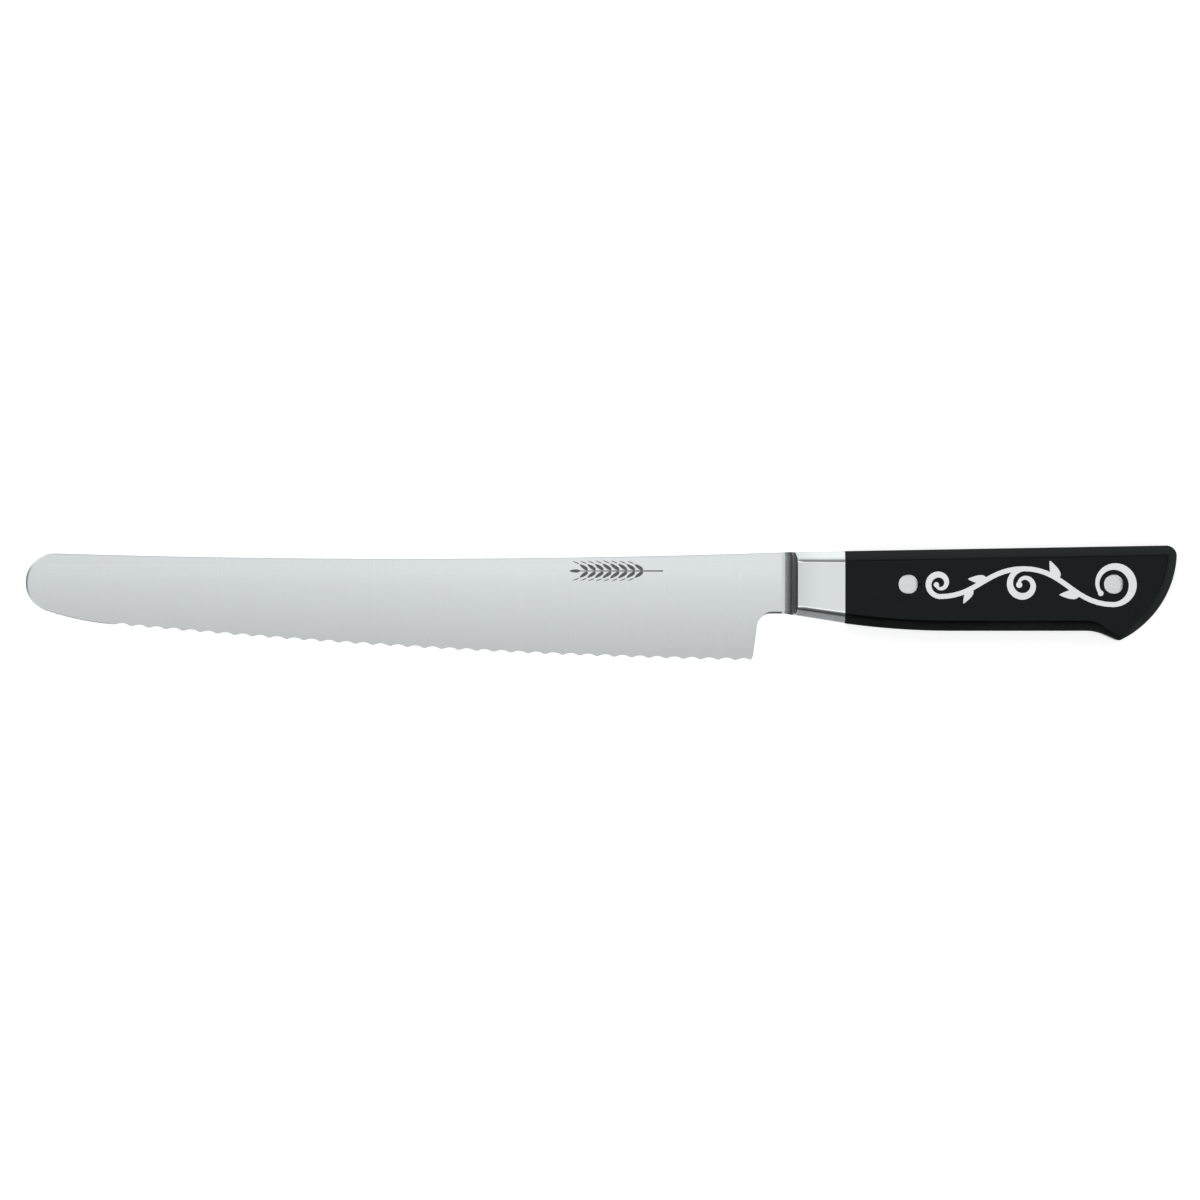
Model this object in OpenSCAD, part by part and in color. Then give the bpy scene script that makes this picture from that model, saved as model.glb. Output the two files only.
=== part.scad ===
// Bread knife with a round-nosed, scalloped blade, a full tang, two bolster cheeks, and two riveted
// scales with a scroll inlay on each side. Sizes are in millimetres.
// The knife lies on its right side: X runs from the tip to the butt, Y from the edge to the spine and
// Z through the thickness. The origin is under the middle of the bounding box, on the surface below.
// The shapes are drawn about a working frame instead: x = 0 at the front of the bolster, y = 0 on the
// line through both rivets and z = 0 in the middle plane of the blade. lay() moves them to the origin.

/* [Blade] */
// Length from the tip of the nose to the front of the bolster
blade_len = 250; // [235:1:265]
// Radius of the round nose
nose_r = 9.5; // [9:0.1:10]
// Radius of the belly that joins the nose to the long edge
belly_r = 90; // [70:1:120]
// Radius of the long cutting edge
edge_r = 2740; // [2600:10:3000]
// Depth of the edge's lowest point below the rivet line
edge_drop = 25.1; // [24:0.1:26]
// Radius of the slightly swayed spine
spine_r = 3650; // [3400:10:3900]
// Height of the spine's lowest point above the rivet line
spine_rise = 8.3; // [8:0.1:9]
// Thickness of the tang and of the spine at the bolster
stock_t = 2.5; // [2.2:0.1:2.8]
// Thickness of the spine at the nose
nose_t = 1.5; // [1.3:0.1:1.7]
// Thickness that each side loses for each millimetre from the spine to the edge
grind = 0.025; // [0.02:0.001:0.028]

/* [Scallops] */
// Distance from one tooth to the next
scallop_pitch = 5.6; // [5:0.1:6.2]
// How far a scallop reaches into the left side of the blade
scallop_h = 0.65; // [0.5:0.05:1]
// Radius of the wheel that grinds a scallop
scallop_r = 12; // [10:0.5:14]
// Angle between the ground scallop and the side of the blade
scallop_angle = 20; // [16:1:26]
// Number of scallops, counted from the heel
scallops = 37; // [20:1:38]

/* [Heel] */
// Distance from the heel's lowest point to the front of the bolster
heel_back = 14.5; // [13.5:0.1:17]
// Depth of the neck's underside below the rivet line
neck_drop = 9.6; // [9:0.1:10]
// Radius of the notch between the heel and the neck
notch_r = 4.5; // [4:0.1:5]
// Lean of the heel from square
heel_lean = 7; // [4:0.5:10]

/* [Handle] */
// Length of bolster and scales together
handle_len = 122.6; // [118:0.1:128]
// Thickness across the two scales
handle_t = 17; // [15:0.5:19]
// Rise of the handle's back, from square
back_rise = 1; // [0.5:0.01:1.6]
// Depth of the straight part of the belly side below the rivet line
grip_drop = 15.1; // [14.5:0.1:16]
// Radius of the grip where it swells behind the bolster
swell_r = 254; // [230:1:300]
// Width of the bevel round each scale
bevel = 3.1; // [2.4:0.1:3.3]
// Radius of the round butt
butt_r = 32; // [31:0.5:33]
// Radius of the corner between back and butt
corner_r = 3.4; // [3.2:0.1:4]
// Depth of the beak's point below the rivet line
beak_drop = 18.3; // [17.8:0.1:18.8]
// Angle of the beak's underside
beak_angle = 24; // [20:1:28]
// Radius of the hollow in front of the beak
hollow_r = 14; // [10:1:18]
// Radius of the beak's point
beak_r = 1.5; // [1.2:0.1:1.8]

/* [Bolster] */
// Length of the bolster
bolster_len = 15.25; // [13:0.25:18]
// Thickness across the two cheeks at the front
bolster_t = 12.5; // [11.5:0.5:13]
// Thickness of the cheek's front lip
lip_t = 0.15; // [0.1:0.05:0.3]

/* [Rivets] */
// Position of the front rivet behind the bolster's front
front_rivet_x = 35.6; // [30:0.1:36]
// Position of the rear rivet behind the bolster's front
rear_rivet_x = 101.9; // [100:0.1:102]
// Diameter of a rivet's head
rivet_head_d = 6.4; // [6:0.1:7]
// Thickness of a rivet's head
rivet_head_t = 2.4; // [2:0.1:3]
// Diameter of the socket's barrel
barrel_d = 4.8; // [4.4:0.1:5]
// Diameter of the post's shank
post_d = 3; // [2.6:0.1:3.2]

/* [Scroll inlay] */
// Depth of the inlay
inlay_t = 1.2; // [0.8:0.1:1.6]
// Radius of the large volute round the rear rivet, to the middle of its strip
large_volute_r = 6.6; // [6.4:0.1:6.8]
// Radius of the middle volute
middle_volute_r = 5.2; // [4.8:0.1:5.4]
// Radius of the small volute
small_volute_r = 4.2; // [3.9:0.1:4.4]
// Half of the strip's greatest width
strip_w = 1.3; // [1:0.05:1.4]
// Half of the strip's width on the stems
stem_w = 0.8; // [0.6:0.05:0.9]

/* [Hidden] */

STEEL = [0.80, 0.82, 0.82];
BOLSTER_STEEL = [0.84, 0.86, 0.86];
BLACK_PLASTIC = [0.07, 0.08, 0.08];
INLAY_STEEL = [0.90, 0.91, 0.91];

$fn = 64;
play = 0.05; // clearance of a rivet's barrel in its holes
past = 1; // how far a cutter runs past the surface that it leaves by
overcut = 0.2; // the same for the bevel, which has little room in the tight corners
flute = 12; // half the length of a scallop's cutter

half_stock = stock_t / 2;
half_handle = handle_t / 2;

// Long arcs of the blade
spine_low_x = -0.51 * blade_len;
spine_centre = [spine_low_x, spine_rise + spine_r];
edge_low_x = 35.5;
edge_centre = [edge_low_x, edge_r - edge_drop];
nose_centre = [
    nose_r - blade_len,
    spine_centre.y - sqrt((spine_r + nose_r) ^ 2 - (nose_r - blade_len - spine_low_x) ^ 2),
];
belly_centre = nested_centre(nose_centre, belly_r - nose_r, edge_centre, edge_r - belly_r);

// Bolster: the flare at its front is a quarter round that lands on the blade
flare_r = bolster_t / 2 - half_stock;
bolster_start = sqrt(flare_r ^ 2 - (flare_r - lip_t) ^ 2) - flare_r;

// Back line of the handle and the points that hang on it
back_dir = [cos(back_rise), sin(back_rise)];
back_start = [bolster_start, spine_y(bolster_start)];
butt_lift = 0.4; // how far the butt's centre stands above the spine at the bolster
butt_centre = [handle_len - butt_r, spine_y(0) + butt_lift];
corner_centre = tucked_centre(back_start, back_dir, [back_dir.y, -back_dir.x], butt_centre, butt_r, corner_r);
beak_point = butt_centre + butt_r * unit([
    sqrt(butt_r ^ 2 - (butt_centre.y + beak_drop) ^ 2), -(butt_centre.y + beak_drop)]);
beak_dir = [cos(beak_angle), -sin(beak_angle)];
beak_centre = tucked_centre(beak_point, beak_dir, [-beak_dir.y, beak_dir.x], butt_centre, butt_r, beak_r);
hollow_start_x = beak_point.x - (beak_drop - grip_drop) / tan(beak_angle) - hollow_r * tan(beak_angle / 2);
swell_x = 50; // where the swell of the grip runs into its straight part
beak_bevel = 1.2; // width of the bevel at the beak's point
front_bevel = 0.89 * bevel; // width of the bevel at the front of the bolster
neck_end = [bolster_start, -neck_drop];

// Bounding box of the knife in the working frame
top_y = corner_centre.y + corner_r;
low_y = edge_y(-heel_back);
middle = [(handle_len - blade_len) / 2, (top_y + low_y) / 2];

// ---- Functions ----

function unit(v) = v / norm(v);
function left_of(v) = [-v.y, v.x];
function whole_microns(v) = round(v * 1000) / 1000;
function smooth(t) = let (u = min(max(t, 0), 1)) u * u * (3 - 2 * u);
function spine_y(x) = spine_centre.y - sqrt(spine_r ^ 2 - (x - spine_centre.x) ^ 2);
function edge_y(x) = edge_centre.y - sqrt(edge_r ^ 2 - (x - edge_centre.x) ^ 2);
function back_y(x) = back_start.y + (x - back_start.x) * tan(back_rise);
function underside_y(x) = neck_end.y + (x - neck_end.x) * (swell_y(bolster_len) - neck_end.y)
    / (bolster_len - neck_end.x);
function swell_y(x) = swell_r - grip_drop - sqrt(swell_r ^ 2 - (x - swell_x) ^ 2);
function angle_to(from, to) = atan2(to.y - from.y, to.x - from.x);

// Centre that lies d1 from c1 and d2 from c2, on the right of the line from c1 to c2
function nested_centre(c1, d1, c2, d2) =
    let (
        gap = norm(c2 - c1),
        along = (d1 ^ 2 - d2 ^ 2 + gap ^ 2) / (2 * gap),
        across = sqrt(d1 ^ 2 - along ^ 2),
        dir = unit(c2 - c1)
    ) c1 + dir * along + [dir.y, -dir.x] * across;

// Centre of a circle of radius r inside the circle (c, big_r), touching it and a line. The line runs
// through p along dir, and inward is its normal towards the material.
function tucked_centre(p, dir, inward, c, big_r, r) =
    let (
        m = p + inward * r - c,
        b = m * dir,
        s = sqrt(b ^ 2 - m * m + (big_r - r) ^ 2) - b
    ) p + inward * r + dir * s;

function arc(c, r, from, to, steps) = [
    for (i = [0 : steps]) let (a = from + (to - from) * i / steps) c + r * [cos(a), sin(a)]];

// An arc of the handle's outline, as [point, inward normal] pairs. round is 1 where the outline bulges
// and -1 where it is hollow.
function rim_arc(c, r, from, to, steps, round = 1) = [
    for (i = [0 : steps])
        let (a = from + (to - from) * i / steps) [c + r * [cos(a), sin(a)], -round * [cos(a), sin(a)]]];

// Outline of the scales, anticlockwise from the bottom of their front end
function handle_rim() =
    let (
        swell_centre = [swell_x, swell_r - grip_drop],
        hollow_centre = [hollow_start_x, -grip_drop - hollow_r],
        beak_from = 270 - beak_angle,
        beak_to = angle_to(butt_centre, beak_centre),
        corner_from = angle_to(butt_centre, corner_centre)
    ) concat(
        [[[bolster_len, swell_y(bolster_len)], [0, 1]]],
        rim_arc(swell_centre, swell_r, 270 - asin((swell_x - bolster_len - 3) / swell_r), 270, 6),
        rim_arc(hollow_centre, hollow_r, 90, 90 - beak_angle, 5, -1),
        rim_arc(beak_centre, beak_r, beak_from, 360 + beak_to, 6),
        rim_arc(butt_centre, butt_r, beak_to + 2, corner_from, 20),
        rim_arc(corner_centre, corner_r, corner_from + 8, 90 + back_rise, 8),
        [[[bolster_len, back_y(bolster_len)], [0, -1]]]
    );

// The bevel narrows towards the beak, so that it never folds over at the point
function bevel_at(p) = beak_bevel + (bevel - beak_bevel) * smooth(norm(p - beak_centre) / 9 - 0.1);

function handle_outline() = [for (r = handle_rim()) r[0]];

// Outline of the ground part of the blade, anticlockwise from the spine at the bolster
function blade_outline() =
    let (
        heel_dir = [-sin(heel_lean), -cos(heel_lean)],
        notch_centre = [-heel_back + notch_r + (edge_drop - neck_drop - notch_r) * tan(heel_lean),
            -neck_drop - notch_r],
        heel_top = notch_centre + notch_r * [-cos(heel_lean), sin(heel_lean)]
    ) concat(
        arc(spine_centre, spine_r, angle_to(spine_centre, [0, spine_y(0)]),
            angle_to(spine_centre, nose_centre), 24),
        arc(nose_centre, nose_r, angle_to(spine_centre, nose_centre) + 180,
            angle_to(belly_centre, nose_centre) + 360, 24),
        arc(belly_centre, belly_r, angle_to(belly_centre, nose_centre) + 360 + 1,
            angle_to(edge_centre, belly_centre) + 360, 8),
        arc(edge_centre, edge_r, angle_to(edge_centre, belly_centre) + 0.2,
            angle_to(edge_centre, heel_foot(heel_top, heel_dir)), 16),
        arc(notch_centre, notch_r, 180 - heel_lean, 90, 8),
        [[0, -neck_drop]]
    );

// Where the heel's line meets the long edge
function heel_foot(top, dir) = let (x = top.x + (top.y - edge_y(-heel_back)) * dir.x / -dir.y) [x, edge_y(x)];

// ---- Scroll: paths are lists of [x, y, half width] ----

function volute(c, r_out, r_in, from, turn, w_out, w_mid, w_in, steps) = [
    for (i = [0 : steps])
        let (
            t = i / steps,
            a = from + turn * t,
            r = r_out + (r_in - r_out) * t,
            w = t < 0.3 ? w_out + (w_mid - w_out) * smooth(t / 0.3)
                : w_mid + (w_in - w_mid) * smooth((t - 0.3) / 0.7)
        ) [c.x + r * cos(a), c.y + r * sin(a), w]];

// An S-shaped stem that leaves p0 and reaches p1 level, without its two end points
function stem(p0, p1, w, steps) = [
    for (i = [1 : steps - 1])
        let (
            t = i / steps,
            u = 1 - t,
            pull = [(p0.x - p1.x) * 0.45, 0],
            p = u ^ 3 * p0 + 3 * u ^ 2 * t * (p0 - pull) + 3 * u * t ^ 2 * (p1 + pull) + t ^ 3 * p1
        ) [p.x, p.y, w]];

function heading(path, i) =
    let (a = path[max(i - 1, 0)], b = path[min(i + 1, len(path) - 1)]) unit([b.x - a.x, b.y - a.y]);

function strip(path) = concat(
    [for (i = [0 : len(path) - 1]) [path[i].x, path[i].y] + left_of(heading(path, i)) * path[i].z],
    [for (i = [len(path) - 1 : -1 : 0]) [path[i].x, path[i].y] - left_of(heading(path, i)) * path[i].z]);

function reversed(list) = [for (i = [len(list) - 1 : -1 : 0]) list[i]];
function turned(v, angle) = [v.x * cos(angle) - v.y * sin(angle), v.x * sin(angle) + v.y * cos(angle)];

large_c = [rear_rivet_x, 0];
middle_c = [rear_rivet_x - 29, -0.2];
small_c = [rear_rivet_x - 56.2, 0.2];
large_foot = large_c - [0, large_volute_r];
middle_top = middle_c + [0, middle_volute_r];
small_foot = small_c - [0, small_volute_r];
stem_steps = 14;

// The large volute, the first stem and the middle volute are one strip
large_volute = reversed(volute(large_c, large_volute_r, 5.1, -90, 305, stem_w, strip_w, 0.6, 30));
first_stem = stem(large_foot, middle_top, stem_w, stem_steps);
middle_volute = volute(middle_c, middle_volute_r, 1.5, 90, 450, stem_w, 1.1, 0.5, 34);
first_path = concat(large_volute, first_stem, middle_volute);

// The second stem parts from the top of the middle volute and ends in the small one
second_stem = stem(middle_top, small_foot, stem_w, stem_steps);
small_volute = volute(small_c, small_volute_r, 1.1, -90, -430, stem_w, 1, 0.45, 30);
second_path = concat([[middle_top.x, middle_top.y, stem_w]], second_stem, small_volute);

// A leaf is a drop that springs from a path's point i. Its tip is turned away from the path's run.
function leaf(path, i, turn, size) =
    let (p = [path[i].x, path[i].y], dir = turned(heading(path, i), turn))
    [for (a = [0 : 20 : 340])
        let (along = (1 - cos(a)) / 2, half = 0.34 * size * sin(a) * (1 - 0.75 * along))
            p + dir * along * size + left_of(dir) * half];

// ---- Modules ----

// Moves a shape from the working frame to the origin that the knife lies on
module lay() {
    translate([-middle.x, -middle.y, half_handle]) children();
}

// Everything above the left ground face of the blade
module above_ground_face() {
    taper = (stock_t - nose_t) / 2 / blade_len;
    turn = -atan(taper);
    translate([bolster_start, back_start.y, half_stock])
        rotate([atan(grind * cos(turn)), turn, 0])
            translate([-2 * blade_len, -blade_len, 0])
                cube([3 * blade_len, 2 * blade_len, 10]);
}

// One cutter leaves a scallop that is deepest on the right side of the blade
module scallop_cutter() {
    left_face = half_stock - grind * (edge_drop + spine_rise + 2);
    translate([0, scallop_h, left_face])
        rotate([-90 - scallop_angle, 0, 0])
            translate([0, scallop_r, -flute])
                cylinder(r = scallop_r, h = 2 * flute, $fn = 128);
}

module scallop_row() {
    step = scallop_pitch / edge_r * 180 / PI;
    first = asin((-heel_back - edge_centre.x) / edge_r) - step / 2;
    for (i = [0 : scallops - 1])
        translate(edge_centre)
            rotate(first - i * step)
                translate([0, -edge_r, 0])
                    scallop_cutter();
}

module rivet_hole(x, d, from, to) {
    translate([x, 0, from]) cylinder(d = d, h = to - from);
}

module tang_slab() {
    linear_extrude(stock_t, center = true)
        polygon(concat([neck_end], handle_outline(), [back_start]));
}

module blade() {
    color(STEEL) lay() {
        difference() {
            union() {
                difference() {
                    linear_extrude(stock_t, center = true) polygon(blade_outline());
                    above_ground_face();
                    mirror([0, 0, 1]) above_ground_face();
                    scallop_row();
                }
                tang_slab();
            }
            for (x = [front_rivet_x, rear_rivet_x])
                rivet_hole(x, barrel_d + 2 * play, -stock_t, stock_t);
        }
    }
}

// One bolster cheek on the left side: a tapered, bevelled block whose front is hollowed to the blade
module bolster_cheek() {
    // Whole microns keep the four corners of each bevel exactly in one plane
    function section(x) =
        let (side = whole_microns(bolster_t / 2 + (half_handle - bolster_t / 2) * x / bolster_len),
            top = whole_microns(back_y(x)), low = whole_microns(underside_y(x)),
            b = whole_microns(front_bevel + (bevel - front_bevel) * x / bolster_len))
        [[x, top, half_stock], [x, top, side - b], [x, top - b, side],
            [x, low + b, side], [x, low, side - b], [x, low, half_stock]];
    difference() {
        polyhedron(
            concat(section(bolster_start), section(bolster_len)),
            concat([[0, 1, 2, 3, 4, 5], [11, 10, 9, 8, 7, 6]],
                [for (i = [0 : 5]) [i, i + 6, (i + 1) % 6 + 6, (i + 1) % 6]]));
        translate([-flare_r, 0, half_stock + flare_r])
            rotate([90, 0, 0])
                cylinder(r = flare_r, h = 60, center = true, $fn = 128);
    }
}

module left_bolster() {
    color(BOLSTER_STEEL) lay() bolster_cheek();
}

module right_bolster() {
    color(BOLSTER_STEEL) lay() mirror([0, 0, 1]) bolster_cheek();
}

module plate(points, depth) {
    translate([0, 0, half_handle - inlay_t]) linear_extrude(depth) polygon(points);
}

module bulb(at, r, depth) {
    translate([at.x, at.y, half_handle - inlay_t]) cylinder(r = r, h = depth, $fn = 32);
}

module scroll_plate(depth) {
    union() {
        plate(strip(first_path), depth);
        plate(strip(second_path), depth);
        plate(leaf(first_stem, 4, 34, 6.5), depth);
        plate(leaf(first_stem, 8, -34, 6.5), depth);
        plate(leaf(second_stem, 5, -32, 6), depth);
        plate(leaf(second_stem, 8, 34, 5.5), depth);
        bulb(large_volute[0], 0.9, depth);
        bulb(middle_volute[len(middle_volute) - 1], 1, depth);
        bulb(small_volute[len(small_volute) - 1], 0.85, depth);
    }
}

// What the bevel takes off the scale: a three-cornered band that follows the outline from the underside
// of the front end round the butt to the back
module bevel_band() {
    rim = handle_rim();
    front = [-past, 0];
    run = concat([[rim[0][0] + front, rim[0][1]]], rim, [[rim[len(rim) - 1][0] + front, rim[len(rim) - 1][1]]]);
    n = len(run);
    function level(points, z) = [for (i = [0 : n - 1]) [points[i].x, points[i].y, z[i]]];
    cut = [for (r = run) bevel_at(r[0])];
    outside = [for (r = run) r[0] - r[1] * overcut];
    inside = [for (i = [0 : n - 1]) run[i][0] + run[i][1] * (cut[i] + overcut)];
    polyhedron(
        concat(
            level(outside, [for (c = cut) half_handle - c - overcut]),
            level(inside, [for (c = cut) half_handle + overcut]),
            level(outside, [for (c = cut) half_handle + overcut])),
        concat(
            [[0, n, 2 * n], [n - 1, 3 * n - 1, 2 * n - 1]],
            [for (k = [0 : 2], i = [0 : n - 2])
                let (a = k * n + i, b = (k + 1) % 3 * n + i)
                    each [[a, a + 1, b + 1], [a, b + 1, b]]]));
}

// One scale on the left side, with its seats for the rivets and the inlay
module scale_body() {
    difference() {
        translate([0, 0, half_stock]) linear_extrude(half_handle - half_stock) polygon(handle_outline());
        bevel_band();
        for (x = [front_rivet_x, rear_rivet_x]) {
            rivet_hole(x, barrel_d + 2 * play, 0, handle_t);
            rivet_hole(x, rivet_head_d, half_handle - rivet_head_t, handle_t);
        }
        scroll_plate(inlay_t + past);
    }
}

module left_scale() {
    color(BLACK_PLASTIC) lay() scale_body();
}

module right_scale() {
    color(BLACK_PLASTIC) lay() mirror([0, 0, 1]) scale_body();
}

// The socket's head sits in the left scale, and its barrel runs to just above the post's head
module rivet_socket(x) {
    difference() {
        union() {
            rivet_hole(x, rivet_head_d, half_handle - rivet_head_t, half_handle);
            rivet_hole(x, barrel_d, rivet_head_t - half_handle + 0.4, half_handle - rivet_head_t / 2);
        }
        rivet_hole(x, post_d, -half_handle, half_handle - rivet_head_t);
    }
}

// The post's head sits in the right scale, and its shank fills the socket's barrel
module rivet_post(x) {
    rivet_hole(x, rivet_head_d, -half_handle, rivet_head_t - half_handle);
    rivet_hole(x, post_d, rivet_head_t / 2 - half_handle, half_handle - rivet_head_t - 0.5);
}

module front_rivet_socket() {
    color(INLAY_STEEL) lay() rivet_socket(front_rivet_x);
}

module front_rivet_post() {
    color(INLAY_STEEL) lay() rivet_post(front_rivet_x);
}

module rear_rivet_socket() {
    color(INLAY_STEEL) lay() rivet_socket(rear_rivet_x);
}

module rear_rivet_post() {
    color(INLAY_STEEL) lay() rivet_post(rear_rivet_x);
}

module left_scroll_inlay() {
    color(INLAY_STEEL) lay() scroll_plate(inlay_t);
}

module right_scroll_inlay() {
    color(INLAY_STEEL) lay() mirror([0, 0, 1]) scroll_plate(inlay_t);
}

blade();
left_bolster();
right_bolster();
left_scale();
right_scale();
front_rivet_socket();
front_rivet_post();
rear_rivet_socket();
rear_rivet_post();
left_scroll_inlay();
right_scroll_inlay();
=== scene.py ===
import math

import bmesh
import bpy
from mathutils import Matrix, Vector


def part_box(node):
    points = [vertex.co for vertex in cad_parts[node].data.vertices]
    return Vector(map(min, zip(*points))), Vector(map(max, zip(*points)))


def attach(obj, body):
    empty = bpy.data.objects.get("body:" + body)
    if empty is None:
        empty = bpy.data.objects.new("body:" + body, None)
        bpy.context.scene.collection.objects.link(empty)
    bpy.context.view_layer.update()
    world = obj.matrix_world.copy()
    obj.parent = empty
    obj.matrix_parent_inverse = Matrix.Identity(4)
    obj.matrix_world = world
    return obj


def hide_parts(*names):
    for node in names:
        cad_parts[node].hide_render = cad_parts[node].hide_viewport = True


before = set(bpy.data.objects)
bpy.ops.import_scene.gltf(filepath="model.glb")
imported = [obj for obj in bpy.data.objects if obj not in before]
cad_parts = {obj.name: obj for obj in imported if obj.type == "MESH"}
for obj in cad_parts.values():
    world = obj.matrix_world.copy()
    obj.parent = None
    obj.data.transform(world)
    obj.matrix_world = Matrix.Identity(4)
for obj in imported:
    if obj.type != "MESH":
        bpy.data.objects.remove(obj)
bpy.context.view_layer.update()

# Shapes are drawn in millimetres about the same working frame as the CAD: x = 0 at the front of the
# bolster, y = 0 on the line through the rivets, z = 0 in the middle plane of the blade. place() turns
# that into metres in the row frame.
MM = 0.001

# Blade. The edge and the spine are long arcs, and the nose and the belly are short ones.
BLADE_LEN = 250.0
NOSE_R = 9.5
BELLY_R = 90.0
EDGE_R = 2740.0
EDGE_DROP = 25.1
EDGE_LOW_X = 35.5
SPINE_R = 3650.0
SPINE_RISE = 8.3
SPINE_LOW_X = -0.51 * BLADE_LEN
HALF_STOCK = 1.25
TAPER = 0.002
GRIND = 0.025
SCALLOP_PITCH = 5.6
SCALLOP_H = 0.65
SCALLOP_WHEEL_R = 12.0
SCALLOP_ANGLE = math.radians(20)
SCALLOPS = 37
BLADE_CREASE = 18  # degrees
HEEL_BACK = 14.5
HEEL_LEAN = math.radians(7)
NECK_DROP = 9.6
NOTCH_R = 4.5

# Bolster and handle
HANDLE_LEN = 122.6
HALF_HANDLE = 8.5
BOLSTER_LEN = 15.25
BOLSTER_HALF_T = 6.25
FLARE_R = 5.0
BACK_SLOPE = math.tan(math.radians(1))
GRIP_DROP = 15.1
SWELL_R = 254.0
SWELL_X = 50.0
BEVEL = 3.1
FRONT_BEVEL = 0.89 * BEVEL
BEAK_BEVEL = 1.2
BUTT_R = 32.0
BUTT_LIFT = 0.4
CORNER_R = 3.4
BEAK_DROP = 18.3
BEAK_ANGLE = math.radians(24)
BEAK_R = 1.5
HOLLOW_R = 14.0

# Rivets, and the play round them in their holes
HEAD_R = 3.2
HEAD_T = 2.4
BARREL_R = 2.4
SHANK_R = 1.5
BARREL_END_GAP = 0.4
SHANK_END_GAP = 0.5
HOLE_PLAY = 0.05
SEAT_PLAY = 0.04

# Etched ear of wheat, which runs towards the nose from the foot of its stem
EAR_FOOT_X = -43.5
EAR_Y = 4.3
STEM_LEN = 27.0
FIRST_GRAIN = 6.5
GRAIN_STEP = 2.55
GRAINS = 8
GRAIN_LEAN = 34
AWN_LEAN = 22
ETCH_DEPTH = 0.02
ETCH_RISE = 0.012

# The picture's width, and the point of the working frame in its middle
FRAME_WIDTH = 388.8
FRAME_X = -63.9
FRAME_Y = -5.1


def centre_of(node):
    low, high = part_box(node)
    return (low + high) / 2


origin = Vector((
    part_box("blade")[0].x + BLADE_LEN * MM,
    centre_of("front_rivet_socket").y,
    centre_of("blade").z,
))
rivet_xs = {end: (centre_of(f"{end}_rivet_socket").x - origin.x) / MM for end in ("front", "rear")}


def place(x, y, z):
    """A point of the working frame, in metres in the row frame."""
    return origin + Vector((x, y, z)) * MM


# ---- Curves of the side view ----


def smooth(t):
    """Eases from 0 to 1 as t does."""
    t = min(max(t, 0.0), 1.0)
    return t * t * (3 - 2 * t)


def heading_to(a, b):
    return math.atan2(b.y - a.y, b.x - a.x)


def spine_y(x):
    return SPINE_RISE + SPINE_R - math.sqrt(SPINE_R ** 2 - (x - SPINE_LOW_X) ** 2)


def edge_y(x):
    return EDGE_R - EDGE_DROP - math.sqrt(EDGE_R ** 2 - (x - EDGE_LOW_X) ** 2)


def swell_y(x):
    return SWELL_R - GRIP_DROP - math.sqrt(SWELL_R ** 2 - (x - SWELL_X) ** 2)


def back_y(x):
    return spine_y(BOLSTER_START) + (x - BOLSTER_START) * BACK_SLOPE


def underside_y(x):
    share = (x - BOLSTER_START) / (BOLSTER_LEN - BOLSTER_START)
    return -NECK_DROP + share * (swell_y(BOLSTER_LEN) + NECK_DROP)


def side_z(x):
    """Height of the bolster's flat side above the middle plane."""
    return BOLSTER_HALF_T + (HALF_HANDLE - BOLSTER_HALF_T) * x / BOLSTER_LEN


def ground_z(x, y):
    """Height of the blade's ground left face above the middle plane."""
    return HALF_STOCK + TAPER * (x - BOLSTER_START) + GRIND * (y - back_y(BOLSTER_START))


def arc(centre, radius, start, end, steps, hollow=False):
    """(point, inward normal) pairs. The material is on the centre's side, unless the arc is hollow."""
    pairs = []
    for i in range(steps + 1):
        a = start + (end - start) * i / steps
        out = Vector((math.cos(a), math.sin(a)))
        pairs.append((centre + out * radius, out if hollow else -out))
    return pairs


def line(start, end, steps):
    """(point, inward normal) pairs along a straight stretch, with the material on its left."""
    run = (end - start).normalized()
    return [(start.lerp(end, i / steps), Vector((-run.y, run.x))) for i in range(steps + 1)]


def nested_centre(c1, d1, c2, d2):
    """The point d1 from c1 and d2 from c2, on the right of the line from c1 to c2."""
    gap = (c2 - c1).length
    along = (d1 ** 2 - d2 ** 2 + gap ** 2) / (2 * gap)
    run = (c2 - c1) / gap
    return c1 + run * along + Vector((run.y, -run.x)) * math.sqrt(d1 ** 2 - along ** 2)


def tucked_centre(p, run, inward, c, big_r, r):
    """Centre of a circle that touches the line through p and, from inside, the circle (c, big_r)."""
    m = p + inward * r - c
    b = m.dot(run)
    return p + inward * r + run * (math.sqrt(b * b - m.dot(m) + (big_r - r) ** 2) - b)


BOLSTER_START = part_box("left_bolster")[0].x / MM - origin.x / MM
spine_centre = Vector((SPINE_LOW_X, SPINE_RISE + SPINE_R))
edge_centre = Vector((EDGE_LOW_X, EDGE_R - EDGE_DROP))
nose_x = NOSE_R - BLADE_LEN
nose_drop = math.sqrt((SPINE_R + NOSE_R) ** 2 - (nose_x - SPINE_LOW_X) ** 2)
nose_centre = Vector((nose_x, spine_centre.y - nose_drop))
belly_centre = nested_centre(nose_centre, BELLY_R - NOSE_R, edge_centre, EDGE_R - BELLY_R)


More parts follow.
